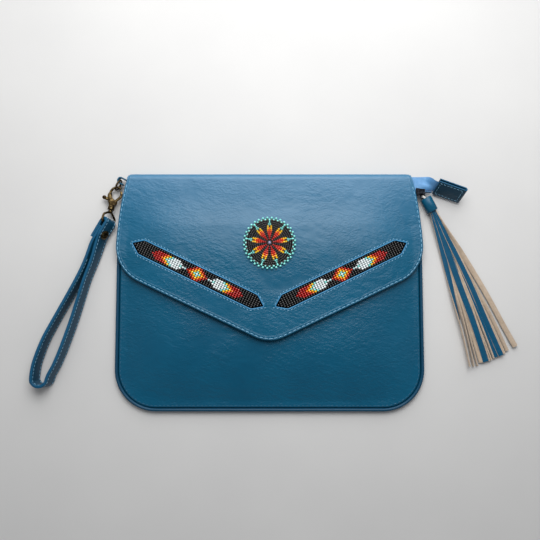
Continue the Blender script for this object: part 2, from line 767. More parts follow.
# The rim's roll: how far its middle is outside the window and above the table, and its two radii
RIM_OUT, RIM_LEVEL = 0.0005, 0.00135
RIM_ACROSS, RIM_UP = 0.00055, 0.0005
for side, word in ((-1, "left"), (1, "right")):
    rings = []
    outline = window_outline(side, 0.0002, 0.0012)
    for index, point in enumerate(outline):
        along = heading(outline, index, closed=True)
        outward = Vector((along.y, -along.x, 0.0)) * side
        ring = []
        for across, up in round_steps(10):
            place = point + outward * (RIM_OUT + RIM_ACROSS * across) + UP * (RIM_LEVEL + RIM_UP * up)
            ring.append(over_fold(*place))
        rings.append(ring)
    bm = bmesh.new()
    bridge(bm, rings, closed=True)
    piece(f"window_rim_{word}", "flap", bm, RIM_HIDE)
    seam = window_outline(side, 0.0021, 0.0014)
    seam += seam[:1]
    stitches(f"window_seam_{word}", "flap", seam, WINDOW_STITCH, slant=16 * side, lift=pressed_in)

# The seam stops below the hinge, clear of the back when the flap opens
seam = flap_edge(0.00155, Y_HINGE - 0.0045, 0.002)
stitches("flap_seam", "flap", seam, FLAP_STITCH, lift=on_hem)

# %% [markdown]
# ## Body
# Under the flap lies the front panel, joined to the back by a narrow rolled edge round both sides and the
# bottom. The panel's border sinks into a groove beside that edge, with a seam just inside it.

# %% Front and back panels
BODY_LEATHER = 0.0012
SEAM_INSET = 0.0017
SEAM_DENT, DENT_WIDTH = 0.00025, 0.0007
GROOVE_DEPTH, GROOVE_WIDTH = 0.0009, 0.0011


def body_rows(inset, top, pitch):
    radius = CORNER_RADIUS - inset
    bottom = Y_BOTTOM + inset
    corner = [bottom + radius * (1 - cos(radians(turn))) for turn in range(0, 90, 5)]
    return corner + spread(bottom + radius, top, pitch)


def near_edges(count):
    """Columns from -1 to 1, closer together near both sides."""
    edge_steps = (0.9995, 0.998, 0.995, 0.99, 0.984, 0.976)
    inner = [0.965 * step / count for step in range(-count, count + 1)]
    return [-1.0] + [-e for e in edge_steps] + inner + list(reversed(edge_steps)) + [1.0]


panel_rows = body_rows(SEAM, Y_MOUTH, 0.0016)
fine_rows = [panel_rows[0] + step for step in (0.0, 0.00012, 0.0003, 0.0006, 0.001)]
panel_rows = fine_rows + panel_rows[2:]
panel = slab(sorted(panel_rows), near_edges(76), lambda y: body_half_width(y, SEAM), BODY_LEATHER)
for vertex in panel.verts:
    x, y, z = vertex.co
    inside = from_edge(x, y) - SEAM
    dent = SEAM_DENT * clamp(1 - abs(inside - SEAM_INSET) / DENT_WIDTH)
    border = GROOVE_DEPTH * (1 - rise(inside / GROOVE_WIDTH)) - dent
    sunk = max(border, 0.0) * (1 if z > 0 else 0)
    vertex.co.z = panel_top(x, y) - BODY_LEATHER + z - sunk + clamp(inside / 0.010) * buckles(x, y, 5.0)
piece("front_leather", "bag", panel, BODY_HIDE, sharp=50, instead_of=["front_panel"])
back = slab(body_rows(0.0, Y_HINGE, 0.006), near_edges(20), body_half_width, BODY_LEATHER)
piece("back_leather", "bag", back, BODY_HIDE, sharp=50, instead_of=["back_panel"])


# %% Rolled edge and its seams
def body_path(inset, top, pitch=0.004):
    """The body's outline from the top left, round the bottom, to the top right."""
    right = [Vector((body_half_width(y, inset), y, 0.0)) for y in body_rows(inset, top, pitch)]
    bottom = [Vector((x, right[0].y, 0.0)) for x in spread(-right[0].x, right[0].x, pitch)[1:-1]]
    return mirrored(right, bottom)


def on_panel(place):
    return Vector((place.x, place.y, panel_top(place.x, place.y) + 0.00002))


roll_profile = mm((3, 1.2), (0.4, 1.2), (0, 1.6), (0, 3.4), (0.3, 4.1), (0.9, 4.5), (1.5, 4.6), (2.1, 4.4))
roll_profile += mm((2.5, 3.9), (2.8, 3), (3, 2.2))
bm = bmesh.new()
bridge(bm, edge_rings(body_path(0.0, Y_HINGE - 0.0003), roll_profile))
piece("rolled_edge", "bag", bm, BINDING_HIDE, sharp=60, instead_of=["edge_binding"])
seam = body_path(SEAM + SEAM_INSET, Y_MOUTH - 0.003)
stitches("body_seam", "bag", seam, BODY_STITCH, lift=on_panel, thread=DARK_THREAD)
print("body panels done")

# %% [markdown]
# ## Glass beads
# The feather bands and the star are the heart of the bag, so each bead is real: a short length of drilled
# glass rod, tumbled until its edges are round. On a loom the holes run across the band, so from above a
# bead is wider along the band than across it. A bead is a profile of seven points spun round its hole.
# The colour of every bead follows from its column and row, counted from the middle of the band.


# %% Bead glass
def bead_glass(name, code, gloss=0.12, deep=0.85, coat=0.25):
    """Opaque glass with small changes of tone from bead to bead, and a clear, shiny skin."""
    shine = {"Roughness": gloss, "IOR": 1.52, "Coat_Weight": coat, "Coat_Roughness": 0.05}
    made, tree, shader, where = new_finish(name, **shine)
    step = add(tree, "VectorMath", "Vector", {0: where, 1: (0.0021, 0.0017, 1.0)}, operation="SNAP")
    batch = add(tree, "TexWhiteNoise", "Value", {"Vector": step}, noise_dimensions="3D")
    tone = add(tree, "Mix", 2, {0: batch, 6: colour(code, deep), 7: colour(code)}, data_type="RGBA")
    surface(tree, shader, tone)
    return made


BEADS = {
    "black": bead_glass("black_glass", "#090A0B", 0.20, coat=0.5),
    "white": bead_glass("white_glass", "#E9F2F4", deep=0.88),
    "pale": bead_glass("pale_turquoise_glass", "#BFE3E6"),
    "turquoise": bead_glass("turquoise_glass", "#86E2DB"),
    "yellow": bead_glass("yellow_glass", "#FFCB22"),
    "orange": bead_glass("orange_glass", "#F6731A"),
    "red": bead_glass("red_glass", "#CF2C1C"),
    "dark_red": bead_glass("dark_red_glass", "#B01D18"),
    "lilac": bead_glass("lilac_glass", "#B9B2DA"),
}
BEAD_NAMES = list(BEADS)
# Black felt that the beads are sewn to
FELT = mottled("black_felt", "#010102", "#0A0B0D", 900.0, 3.0, Roughness=1.0, Specular_IOR_Level=0.0)
# The bead's section in radii and lengths, from one mouth of the hole over the outside and back
bead_wall = ((0.26, -0.34), (0.66, -0.50), (0.92, -0.34), (1.0, 0.0))
bead_wall += tuple((radius, -along) for radius, along in reversed(bead_wall[:-1]))
BEAD = spun_template("bead", (*bead_wall, bead_wall[0]), 9)
random.seed(7)


def bead(place, axis, length, radius, tone):
    """One bead: its hole along the axis, with the small tilt and size error of real glass, and its finish."""
    tilt = Matrix.Rotation(radians(random.uniform(-5, 5)), 3, "Z") @ axis
    tilt.z = random.uniform(-0.06, 0.06)
    size = radius * random.uniform(0.96, 1.03)
    return frame_at(place, tilt) @ Matrix.Diagonal((length, size, size, 1.0)), BEAD_NAMES.index(tone)


print(len(BEADS), "colours of glass; one bead has", len(BEAD.polygons), "faces")


# %% Feather bands
BEAD_ALONG = 0.00223
BEAD_ACROSS = 0.00168
BAND_BEAD = (0.00156, 0.00104)
BAND_LEVEL, UNEVEN = 0.00075, 0.00006


def band_colour(column, row):
    """A diamond in the middle and a feather pointing away from it on each side."""
    along, across = abs(column), abs(row)
    ring = along + across
    if ring <= 4:
        return ("white", "turquoise", "yellow", "orange", "dark_red")[ring]
    if across > 2 or along < 5:
        return "black"
    if across == 0 and along in (5, 6):
        return "pale" if along == 5 else "white"
    if along == 7:
        return ("turquoise", "white", "black")[across]
    if along < 7:
        return "black"
    for last, tone in ((12, "white"), (13, "turquoise"), (14, "yellow"), (15, "orange"), (19, "dark_red")):
        if ring <= last:
            return tone
    return "black"


def band_cells():
    point = WINDOW_LENGTH / 2 - 0.0003
    half = WINDOW_WIDTH / 2 - 0.0003
    for column in range(-int(point / BEAD_ALONG), int(point / BEAD_ALONG) + 1):
        for row in range(-3, 4):
            room = min(half, (point - abs(column) * BEAD_ALONG) * half / WINDOW_POINT)
            if (abs(row) + 0.45) * BEAD_ACROSS <= room + 0.0003:
                yield column, row


BAND_SOLIDS = ("ground", "outer_tip", "inner_tip", "outer_band", "inner_band", "outer_vane", "inner_vane")
BAND_SOLIDS += ("diamond_core", "diamond_rim")
for side, word in ((-1, "left"), (1, "right")):
    placements = []
    across = window_place(side, 0.0, 1.0) - window_place(side, 0.0, 0.0)
    for column, row in band_cells():
        flat = window_place(side, column * BEAD_ALONG, row * BEAD_ACROSS)
        place = over_fold(flat.x, flat.y, BAND_LEVEL + random.uniform(-UNEVEN, UNEVEN))
        placements.append(bead(place, across, *BAND_BEAD, band_colour(column, row)))
    solids = [f"beads_{word}_{each}" for each in BAND_SOLIDS]
    repeated(f"feather_band_{word}", "flap", BEAD, placements, *BEADS.values(), instead_of=solids)
    bm = bmesh.new()
    bm.faces.new([bm.verts.new(place) for place in window_outline(side, 0.0009)])
    thicken(bm, 0.0003)
    long_edges = [edge for edge in bm.edges if edge.calc_length() > 0.02]
    bmesh.ops.subdivide_edges(bm, edges=long_edges, cuts=12, use_grid_fill=True)
    for vertex in bm.verts:
        vertex.co = over_fold(vertex.co.x, vertex.co.y, vertex.co.z + 0.0001)
    piece(f"band_backing_{word}", "flap", bm, FELT, sharp=40)
    print(word, "band", len(placements), "beads")

# %% Star rosette
ROSETTE_Y = Y_FOLD - 0.0616
ROSETTE_RING = 0.00178
FEATHERS = 9
STAR_LEVEL, STAR_UNEVEN, STAR_BEAD_RADIUS = 0.00275, 0.00005, 0.00091
BEADS_PER_FEATHER = (1, 2, 2, 4, 5, 5, 6, 7, 8, 8, 9)
FEATHER_HALF_WIDTHS = (0.3, 0.3, 0.7, 1.2, 1.2, 1.2, 1.2, 0.7, 0.3, 0.3)


def star_colour(ring, offset):
    """Nine feathers; offset counts beads from the middle line of the nearest one."""
    wide = abs(offset)
    if ring == 1 or wide > FEATHER_HALF_WIDTHS[ring - 2]:
        return "black"
    middle, sides = {
        2: ("dark_red", "dark_red"),
        3: ("dark_red", "dark_red"),
        4: ("red", "red"),
        5: ("red", "red"),
        6: ("red", "orange"),
        7: ("orange", "yellow"),
        8: ("black", "yellow"),
    }.get(ring, ("turquoise", "turquoise"))
    return middle if wide < 0.3 else sides


def rosette_bead(radius, turn, z, length, size, tone, outwards=False):
    """A bead at a distance and turn from the rosette's middle; its hole runs round it, or outwards."""
    spot = over_fold(radius * cos(turn), ROSETTE_Y + radius * sin(turn), z)
    axis = Vector((cos(turn), sin(turn), 0.0)) if outwards else Vector((-sin(turn), cos(turn), 0.0))
    return bead(spot, axis, length, size, tone)


placements = []
for ring, per_feather in enumerate(BEADS_PER_FEATHER, 1):
    radius = ring * ROSETTE_RING
    count = FEATHERS * per_feather
    shift = 0.5 if ring in (4, 9) else 0.0
    for index in range(count):
        offset = (index + shift) % per_feather
        tone = star_colour(ring, offset - per_feather if offset > per_feather / 2 else offset)
        turn = pi / 2 + 2 * pi * (index + shift) / count
        length = 2 * pi * radius / count * (0.8 if tone == "turquoise" else 0.96)
        level = STAR_LEVEL + random.uniform(-STAR_UNEVEN, STAR_UNEVEN)
        placements.append(rosette_bead(radius, turn, level, length, STAR_BEAD_RADIUS, tone))
# Picot edging: distance, turn in half steps, level, radius, colour, and whether the hole points outwards
PICOTS, PICOT_LENGTH = 36, 0.0017
EDGING = (
    (0.0202, 0, 0.00265, 0.00098, "turquoise", False),
    (0.0203, 1, 0.0024, 0.00095, "black", False),
    (0.0219, 1, 0.0026, 0.00098, "turquoise", True),
)
for index in range(PICOTS):
    for radius, half_steps, level, size, tone, outwards in EDGING:
        turn = pi / 2 + 2 * pi * index / PICOTS + half_steps * pi / PICOTS
        placements.append(rosette_bead(radius, turn, level, PICOT_LENGTH, size, tone, outwards))
middle = frame_at(over_fold(0.0, ROSETTE_Y, 0.0030), Vector((1, 0, 0)))
placements.append((middle @ Matrix.Diagonal((0.0018, 0.0012, 0.0012, 1)), BEAD_NAMES.index("lilac")))
solids = [f"rosette_{each}" for each in ("ground", "feathers", "edging", "centre_bead")]
repeated("star_rosette", "flap", BEAD, placements, *BEADS.values(), instead_of=solids)
bm = bmesh.new()
spun(bm, mm((0, 1.3), (21.2, 1.3), (21.4, 1.6), (21.2, 2), (12, 2), (0, 2)), 48)
for vertex in bm.verts:
    vertex.co = over_fold(vertex.co.x, vertex.co.y + ROSETTE_Y, vertex.co.z)
piece("rosette_felt", "flap", bm, FELT, sharp=40)
print("rosette", len(placements), "beads")

# %% [markdown]
# ## Hardware
# The ring, the clasp and its swivel are cast brass with an old, darkened skin. A casting has no sharp
# corners, so each piece is a rod that swells where the metal is thick, or a small plate with rounded
# edges. The brown skin is rubbed through to yellow metal in patches one or two millimetres wide.


# %% Old brass
def old_metal(name, dark, rubbed, gloss=0.30):
    """Cast metal with a dark skin, rubbed bright in patches, and fine pits."""
    made, tree, shader, where = new_finish(name, Metallic=1.0)
    skin = add(tree, "TexNoise", "Fac", {"Vector": where, "Scale": 560.0, "Detail": 4.0, "Roughness": 0.6})
    patch = add(tree, "MapRange", "Result", {"Value": skin, "From Min": 0.44, "From Max": 0.66})
    worn = add(tree, "MapRange", "Result", {"Value": patch, "To Min": gloss + 0.14, "To Max": gloss})
    tree.links.new(worn, shader.inputs["Roughness"])
    tone = add(tree, "Mix", 2, {0: patch, 6: colour(dark), 7: colour(rubbed)}, data_type="RGBA")
    pits = add(tree, "TexNoise", "Fac", {"Vector": where, "Scale": 2400.0})
    surface(tree, shader, tone, pits, 0.00008, 0.5)
    return made


# Brass with a brown skin, cast and tumbled
OLD_BRASS = old_metal("antique_brass", "#33281A", "#756341")
# Zinc zip slider, blackened
BLACK_ZINC = old_metal("blackened_zinc", "#0D0F13", "#2C2F35")
# Pressed steel of the hidden snap
STEEL = old_metal("pressed_steel", "#8F8F8C", "#C4C3BE", 0.24)
CAST_SOLIDS = {"trigger_pin": OLD_BRASS, "strap_rivet": OLD_BRASS, "zip_slider": BLACK_ZINC}
for node, finish in {**CAST_SOLIDS, "snap_socket": STEEL, "snap_stud": STEEL}.items():
    for slot in bpy.data.objects[node].material_slots:
        slot.material = finish
print("five solids keep their shape and get cast or pressed metal")


# %% Strips of leather
def rounded_section(width, thickness, soft, steps=2):
    """Corners (across, up) round a strip's cross-section, from its right edge over the top."""
    points = []
    for quarter, across, up in ((0, 1, 1), (1, -1, 1), (2, -1, -1), (3, 1, -1)):
        for step in range(steps + 1):
            turn = pi / 2 * (quarter + step / steps)
            level = up * (thickness / 2 - soft) + soft * sin(turn)
            points.append((across * (width / 2 - soft) + soft * cos(turn), level))
    return points


def ribbon(bm, places, section, top=0, bottom=0, rim=0):
    """A strip through places of (centre, across, up), with a finish's number for top, bottom and cut rim."""
    faces = bridge(bm, [[centre + across * a + up * u for a, u in section] for centre, across, up in places])
    count = len(section)
    slots = {count // 4 - 1: top, 3 * count // 4 - 1: bottom}
    for index, face in enumerate(faces):
        face.material_index = slots.get(index % count, rim) if index < count * (len(places) - 1) else rim


def smooth_places(places, steps):
    """More places between the given ones, on smooth curves."""
    lines = [smooth_line([place[part] for place in places], steps) for part in range(3)]
    found = []
    for centre, across, up in zip(*lines):
        across.normalize()
        found.append((centre, across, (up - across * up.dot(across)).normalized()))
    return found


print("a strip's section has", len(rounded_section(1.0, 0.5, 0.1)), "corners")

# %% Side loop
LOOP_CENTRE = Vector((-0.1304, 0.0972, 0.0056))
LOOP_TURN = radians(-28.0)
LOOP_STEPS = 16
loop_along = Vector((cos(LOOP_TURN), sin(LOOP_TURN), 0.0))
loop_across = Vector((-sin(LOOP_TURN), cos(LOOP_TURN), 0.0))
places = []
for step in range(-5, LOOP_STEPS + 6):
    turn = -pi / 2 - pi * min(max(step, 0), LOOP_STEPS) / LOOP_STEPS
    outward = loop_along * cos(turn) + loop_across * sin(turn)
    spot = LOOP_CENTRE + outward * 0.0024
    # Both ends run on under the edge of the bag
    run = max(-step, step - LOOP_STEPS, 0) * 0.0008
    if run:
        side = -half_side(spot.y)
        run = min(run, (side - 0.0007 - spot.x) / loop_along.x) if spot.x < side else 0.0
    places.append((spot + loop_along * run, UP, outward))
bm = bmesh.new()
ribbon(bm, places, rounded_section(0.0044, 0.0012, 0.00035))
bmesh.ops.remove_doubles(bm, verts=bm.verts, dist=1e-7)
piece("ring_loop", "bag", bm, BODY_HIDE, sharp=60, instead_of=["side_loop"])
print("side loop holds the ring")

# %% Jump ring
RING_AWAY = Vector((sin(radians(-27)), -cos(radians(-27)), 0.0))
RING_CENTRE = Vector((-0.132488, 0.093101, 0.00555))
RING_RADIUS = 0.0046
ring_points = []
for turn in spread(radians(113), radians(470), radians(7.5)):
    ring_points.append(RING_CENTRE + (RING_AWAY * cos(turn) + UP * sin(turn)) * RING_RADIUS)
bm = bmesh.new()
tube(bm, ring_points, 0.00085, 12)
piece("split_ring", "ring", bm, OLD_BRASS, sharp=60, instead_of=["jump_ring"])
print("ring", len(ring_points), "sections, with its split at the top")

# %% Clasp
BAR = Vector((-0.1410, 0.0592, 0.007327))
CLASP_START = Vector((-0.1373, 0.0790, 0.0052))
clasp_x = (BAR - CLASP_START).normalized()
clasp_y = Vector((-clasp_x.y, clasp_x.x, 0.0)).normalized()
CLASP = axes(clasp_x, clasp_y, clasp_x.cross(clasp_y), CLASP_START)
PIVOT = (0.0006, 0.0014, 0.0)


def plate(bm, outline, low, high, soft):
    """A small plate on an outline, with its upper and lower edges rounded."""
    face = bm.faces.new([bm.verts.new((x, y, low)) for x, y in outline])
    own = set(raised(bm, [face] + face.edges[:], high - low)) | set(face.verts)
    edges = [e for e in bm.edges if e.verts[0] in own and e.verts[1] in own]
    bmesh.ops.bevel(bm, geom=edges, offset=soft, segments=3, profile=0.5, affect="EDGES", material=-1)


bm = bmesh.new()
cheek = mm((4.6, -2), (4.4, 1.8), (2.2, 3.4), (-0.2, 3.7), (-1.3, 1.2), (-3, -1.4), (-6.2, -2.6), (-6.7, -4))
cheek = smooth_line(cheek + mm((-5.8, -4.9), (-3, -5), (1, -3.6)), 2)
for low, high in ((0.0009, 0.0022), (-0.0022, -0.0009)):
    plate(bm, cheek, low, high, 0.0003)
plate(bm, mm((2.8, -2.8), (5, -2), (5, 2), (2.8, 3.1)), -0.0021, 0.0021, 0.0004)
claw_line = mm((-5.2, -3.7, 0), (-6.4, -3.8, 0), (-8.8, -3.5, 0), (-11, -2.4, 0), (-12.7, -0.4, 0))
claw_line = smooth_line(claw_line + mm((-13.1, 1.4, 0), (-12.8, 3.2, 0), (-11.9, 4.8, 0)), 4)
claw_radii = []
for index in range(len(claw_line)):
    share = index / (len(claw_line) - 1)
    claw_radii.append(0.00118 + 0.0009 * max(0.0, 1 - share / 0.3) ** 2 - 0.0002 * share)
claw_radii[-1] = 0.0005
tube(bm, claw_line, claw_radii)
collar = mm((0, 4), (1.9, 4), (2.4, 4.4), (2.8, 5.1), (2.9, 5.7), (2.72, 6), (2.9, 6.3), (2.9, 7.6))
collar += mm((2.7, 8.1), (2.3, 8.2), (1.35, 8.2), (1.35, 7), (1.9, 7), (1.9, 5), (0, 5))
spun(bm, collar, 28, QUARTER)
bmesh.ops.transform(bm, matrix=CLASP, verts=bm.verts)
piece("claw", "clasp", bm, OLD_BRASS, sharp=50, instead_of=["clasp_body"])

bm = bmesh.new()
gate = smooth_line([PIVOT] + mm((-3, 4.6, 0), (-6.6, 6.1, 0), (-9.7, 4.9, 0)), 6)
tube(bm, gate, [0.00140 - 0.0004 * index / (len(gate) - 1) for index in range(len(gate))], 12)
tube(bm, smooth_line([PIVOT] + mm((-0.7, -3.6, 0), (-2.1, -8, 0)), 5), 0.0013, 12)
for vertex in bm.verts:
    vertex.co.z *= 0.56
button = mm((0, -1.7), (1, -1.65), (1.6, -1.1), (1.78, 0), (1.6, 1.1), (1, 1.65), (0, 1.7))
spun(bm, button, 18, Matrix.Translation((-0.0021, -0.0080, 0.0)))
boss = mm((0, -0.6), (1.5, -0.6), (1.8, -0.3), (1.8, 0.3), (1.5, 0.6), (0, 0.6))
spun(bm, boss, 20, Matrix.Translation(PIVOT))
bmesh.ops.transform(bm, matrix=CLASP, verts=bm.verts)
piece("gate_lever", "lever", bm, OLD_BRASS, sharp=50, instead_of=["clasp_trigger"])
print("claw and gate lever")

# %% [markdown]
# ## Wrist strap
# The strap is a long belt of two hides glued back to back. It goes through the swivel's bar, down one
# side, round a tight bend and back, and one rivet closes it. It lies on its edge and leans a little, so
# from above one sees its dark face beside a blue painted edge. One cross-section follows the whole
# route. Its places are the solid's own, with more put between them on smooth curves.

# %% Strap route
STRAP_WIDTH = 0.0120
STRAP_THICKNESS = 0.0026
STRAP_TAIL = 0.0165
STRAP_STEPS = 6
# It leans by 15 degrees, and near the swivel's bar by 17 more, where it is also lifted
STRAP_LEAN, BAR_LEAN = 15, 17
BAR_RUN, BAR_LIFT = 0.045, 0.00125
BEND_CENTRE, BEND_RADIUS = (-0.1942, -0.0741), 0.0066
down = mm((-151.6, 27), (-157.7, 10.5), (-162.6, -6), (-167.6, -23), (-172.2, -37), (-176.8, -50))
bend = []
for step in range(7):
    turn = radians(-8 - 164 * step / 6)
    bend.append((BEND_CENTRE[0] + BEND_RADIUS * cos(turn), BEND_CENTRE[1] + BEND_RADIUS * sin(turn)))
back_up = mm((-199.6, -64), (-196.2, -52.5), (-191.5, -40.5), (-185.6, -29), (-179, -16.8), (-171.8, -3.5))
branches = down + mm((-181.7, -62.2), (-186.2, -71)) + bend + back_up
branches += mm((-165.2, 9), (-159.7, 20.5), (-155.3, 31))
strap_along = Vector((cos(radians(240)), sin(radians(240)), 0.0))


def strap_axes(x, y, heading):
    """The strap's width and thickness directions at a place, and the height of its middle."""
    near = ease(max(0.0, 1 - hypot(x - BAR.x, y - BAR.y) / BAR_RUN))
    lean = radians(STRAP_LEAN + BAR_LEAN * near)
    height = STRAP_WIDTH / 2 * cos(lean) + STRAP_THICKNESS / 2 * sin(lean) + GAP + BAR_LIFT * near
    along = Vector((heading[0], heading[1], 0.0)).normalized()
    width = Vector((-sin(lean), 0.0, cos(lean)))
    width = (width - along * width.dot(along)).normalized()
    return width, along.cross(width), height


bar_width, bar_through = strap_axes(BAR.x, BAR.y, strap_along)[:2]
spacing = STRAP_THICKNESS + GAP


def stacked(distance, offset, flip):
    """A place in the flat stack of three layers beside the bar."""
    centre = BAR + strap_along * distance
    width, through, centre.z = strap_axes(centre.x, centre.y, strap_along)
    return centre + through * offset, width, through * flip


strap_places = [stacked(STRAP_TAIL * share, spacing, -1) for share in (1.0, 0.66, 0.33, 0.0)]
for step in range(1, 8):
    turn = pi * step / 8
    out = bar_through * cos(turn) - strap_along * sin(turn)
    strap_places.append((BAR + out * spacing, bar_width, -out))
strap_places += [stacked(STRAP_TAIL * share, -spacing, 1) for share in (0.0, 0.33, 0.66)]
after = BAR + strap_along * (STRAP_TAIL * 0.98)
leave = after - strap_axes(after.x, after.y, strap_along)[1] * spacing * 1.15
back_again = BAR + strap_along * (STRAP_TAIL * 1.25)
route = [(leave.x, leave.y), *branches, (back_again.x, back_again.y)]
first_free = len(strap_places)
for index, (x, y) in enumerate(route):
    before = route[max(index - 1, 0)]
    following = route[min(index + 1, len(route) - 1)]
    width, through, height = strap_axes(x, y, (following[0] - before[0], following[1] - before[1]))
    strap_places.append((Vector((x, y, height)), width, through))
last_free = len(strap_places) - 1
strap_places += [stacked(distance, 0.0, -1) for distance in (STRAP_TAIL * 0.8, STRAP_TAIL * 0.5, 0.0042)]
dense = smooth_places(strap_places, STRAP_STEPS)
print("strap", in_mm(length_of([place[0] for place in dense])), "mm of leather in", len(dense), "sections")

# %% Strap leather and stitches
# Edge paint: the cut edge is dyed, burnished and a little shiny
EDGE_PAINT = leather("burnished_blue_edge", "#02405F", "#0A587D", creases=0.0, gloss=0.45)
bm = bmesh.new()
ribbon(bm, dense, rounded_section(STRAP_WIDTH, STRAP_THICKNESS, 0.0006, 3), 0, 0, 1)
piece("strap_leather", "strap", bm, STRAP_HIDE, EDGE_PAINT, sharp=60, instead_of=["wrist_strap"])
for word, face, start, stop in (("outer", -1, 3, last_free - 1), ("inner", 1, first_free + 1, last_free - 1)):
    for edge_word, edge in (("upper", 1), ("lower", -1)):
        seam = []
        for centre, across, up in dense[start * STRAP_STEPS : stop * STRAP_STEPS]:
            to_side = across * edge * (STRAP_WIDTH / 2 - 0.0017)
            seam.append(centre + to_side + up * face * (STRAP_THICKNESS / 2 + 0.00006))
        stitches(f"strap_seam_{word}_{edge_word}", "strap", seam, STRAP_STITCH)

# %% Swivel
BAIL_ROOM = 0.00095
BAIL_END = 0.0104
reach = STRAP_WIDTH / 2 + GAP + BAIL_ROOM
shoulder = STRAP_THICKNESS * 1.5 + 2 * GAP + BAIL_ROOM
out = CLASP @ Vector((BAIL_END, 0.0, 0.0)) - BAR
out -= bar_width * out.dot(bar_width)
far = out.length
out.normalize()
half_loop = [(reach - 0.0030, 0.0), (reach - 0.0014, 0.0), (reach - 0.0003, 0.0005), (reach, 0.0016)]
half_loop += [(reach, shoulder), (reach * 0.86, shoulder * 1.25)]
half_loop += [(reach * 0.5, (shoulder + far) * 0.56), (0.0016, far * 0.97)]
bail_line = [BAR + out * distance + bar_width * half for half, distance in reversed(half_loop)]
bail_line += [BAR + out * distance - bar_width * half for half, distance in half_loop]
bm = bmesh.new()
tube(bm, smooth_line(bail_line, 4), 0.00093, 12)
post = mm((0, 5.3), (1.2, 5.3), (1.6, 6), (1.6, 6.7), (1.05, 6.7), (1.05, 8.5), (1.7, 8.6), (1.9, 9.2))
spun(bm, post + mm((1.9, 10), (1.6, 10.8), (0.9, 11.3), (0, 11.4)), 20, CLASP @ QUARTER)
piece("swivel_loop", "swivel", bm, OLD_BRASS, sharp=50, instead_of=["swivel_bail"])
print("swivel loop", in_mm(2 * reach), "mm wide")

# %% [markdown]
# ## Zip
# The zip lies across the mouth under the flap. Moulded teeth sit on the edges of two woven tapes, and the
# front one runs on past the side of the bag, through the slider, into a folded leather tab that stops it.
# One tooth is a small bevelled block with a nose, repeated at its true pitch of 1.45 mm.


# %% Woven cloth
# A wave texture at a scale of 1 repeats every 0.314 m
BAND_RUN = 0.314


def woven(name, warp, weft, pitch, gloss=0.7, sheen=0.3):
    """Plain weave: raised threads both ways at the pitch, in metres, with a slub here and there."""
    made, tree, shader, where = new_finish(name, Roughness=gloss, Sheen_Weight=sheen, Sheen_Roughness=0.4)
    threads = {}
    for number, direction in enumerate("XY"):
        bands = {"Vector": where, "Scale": BAND_RUN / pitch, "Detail": 1.0, "Detail Scale": 2.0}
        bands["Distortion"] = 0.4
        threads[number] = add(tree, "TexWave", "Fac", bands, bands_direction=direction)
    weave = add(tree, "Math", "Value", threads, operation="MULTIPLY")
    slub = add(tree, "TexNoise", "Fac", {"Vector": where, "Scale": 160.0, "Detail": 4.0})
    half = add(tree, "Math", "Value", {0: weave, 1: 0.5}, operation="MULTIPLY")
    share = add(tree, "Math", "Value", {0: slub, 1: 0.7, 2: half}, operation="MULTIPLY_ADD")
    tone = add(tree, "Mix", 2, {0: share, 6: colour(warp), 7: colour(weft)}, data_type="RGBA")
    surface(tree, shader, tone, weave, 0.00012, 0.7)
    return made


# Polyester zip tape: close plain weave with a satin shine
ZIP_TAPE = woven("satin_zip_tape", "#2F74B0", "#79B0DE", 0.00055, gloss=0.42, sheen=0.2)
# Cotton lining
LINING_CLOTH = woven("navy_cotton", "#131C28", "#2B3A4C", 0.0007)
# Moulded resin teeth, blue and slightly shiny
TEETH = mottled("moulded_blue_resin", "#12405F", "#23638C", 700.0, 3.0, Roughness=0.35)
print("cloths and teeth ready")


# %% Cloth sheets
def cloth(name, body, rows, pitch, half_width, height, stuff, node):
    """A woven sheet lifted onto its heights, declared at the size it was cut to."""
    finish, thickness = stuff
    columns = spread(-1.0, 1.0, pitch)
    bm = flat_grid(rows, columns, half_width)
    for vertex in bm.verts:
        vertex.co.z = height(vertex.co.x, vertex.co.y)
    area = sum(face.calc_area() for face in bm.faces)
    widest = max(rows, key=half_width)
    level = [column * half_width(widest) for column in columns]
    cut_width = length_of([Vector((x, widest, height(x, widest))) for x in level])
    cut_length = length_of([Vector((0.0, y, height(0.0, y))) for y in rows])
    thicken(bm, thickness)
    made = piece(name, body, bm, finish, sharp=60, instead_of=[node])
    print(name, "cut to", in_mm(cut_width), "x", in_mm(cut_length), "mm")


print("cloth is cut flat and laid on its heights")


# %% Linings and tapes
Y_CHAIN = Y_MOUTH + 0.0070
Y_CHAIN_BACK = Y_CHAIN + 0.0084
ZIP_HALF = half_side(Y_CHAIN_BACK) - 0.0099
LINING_INSET = 0.0093
LINING_TOP = Y_HINGE - 0.0009
TAPE = 0.0006
LINING = 0.0004
BACK_LINING_LEVEL = 0.0015
BACK_TAPE_LEVEL = 0.0022
UNDER_PANEL = 0.0022
FLAP_LINING_INSET = HEM + GAP


def tape_floor(x, y):
    return panel_top(x, y) - 0.0021


def lining_half_width(y):
    return body_half_width(y, LINING_INSET)


def flap_lining_half_width(y):
    return flap_half_width(y, FLAP_LINING_INSET)


def zip_half_width(y):
    return ZIP_HALF


def on_back(x, y):
    return BACK_LINING_LEVEL


def under_front(x, y):
    return max(BACK_TAPE_LEVEL, panel_top(x, y) - UNDER_PANEL)


def under_flap(x, y):
    return flap_underside(x, y) + 0.0002


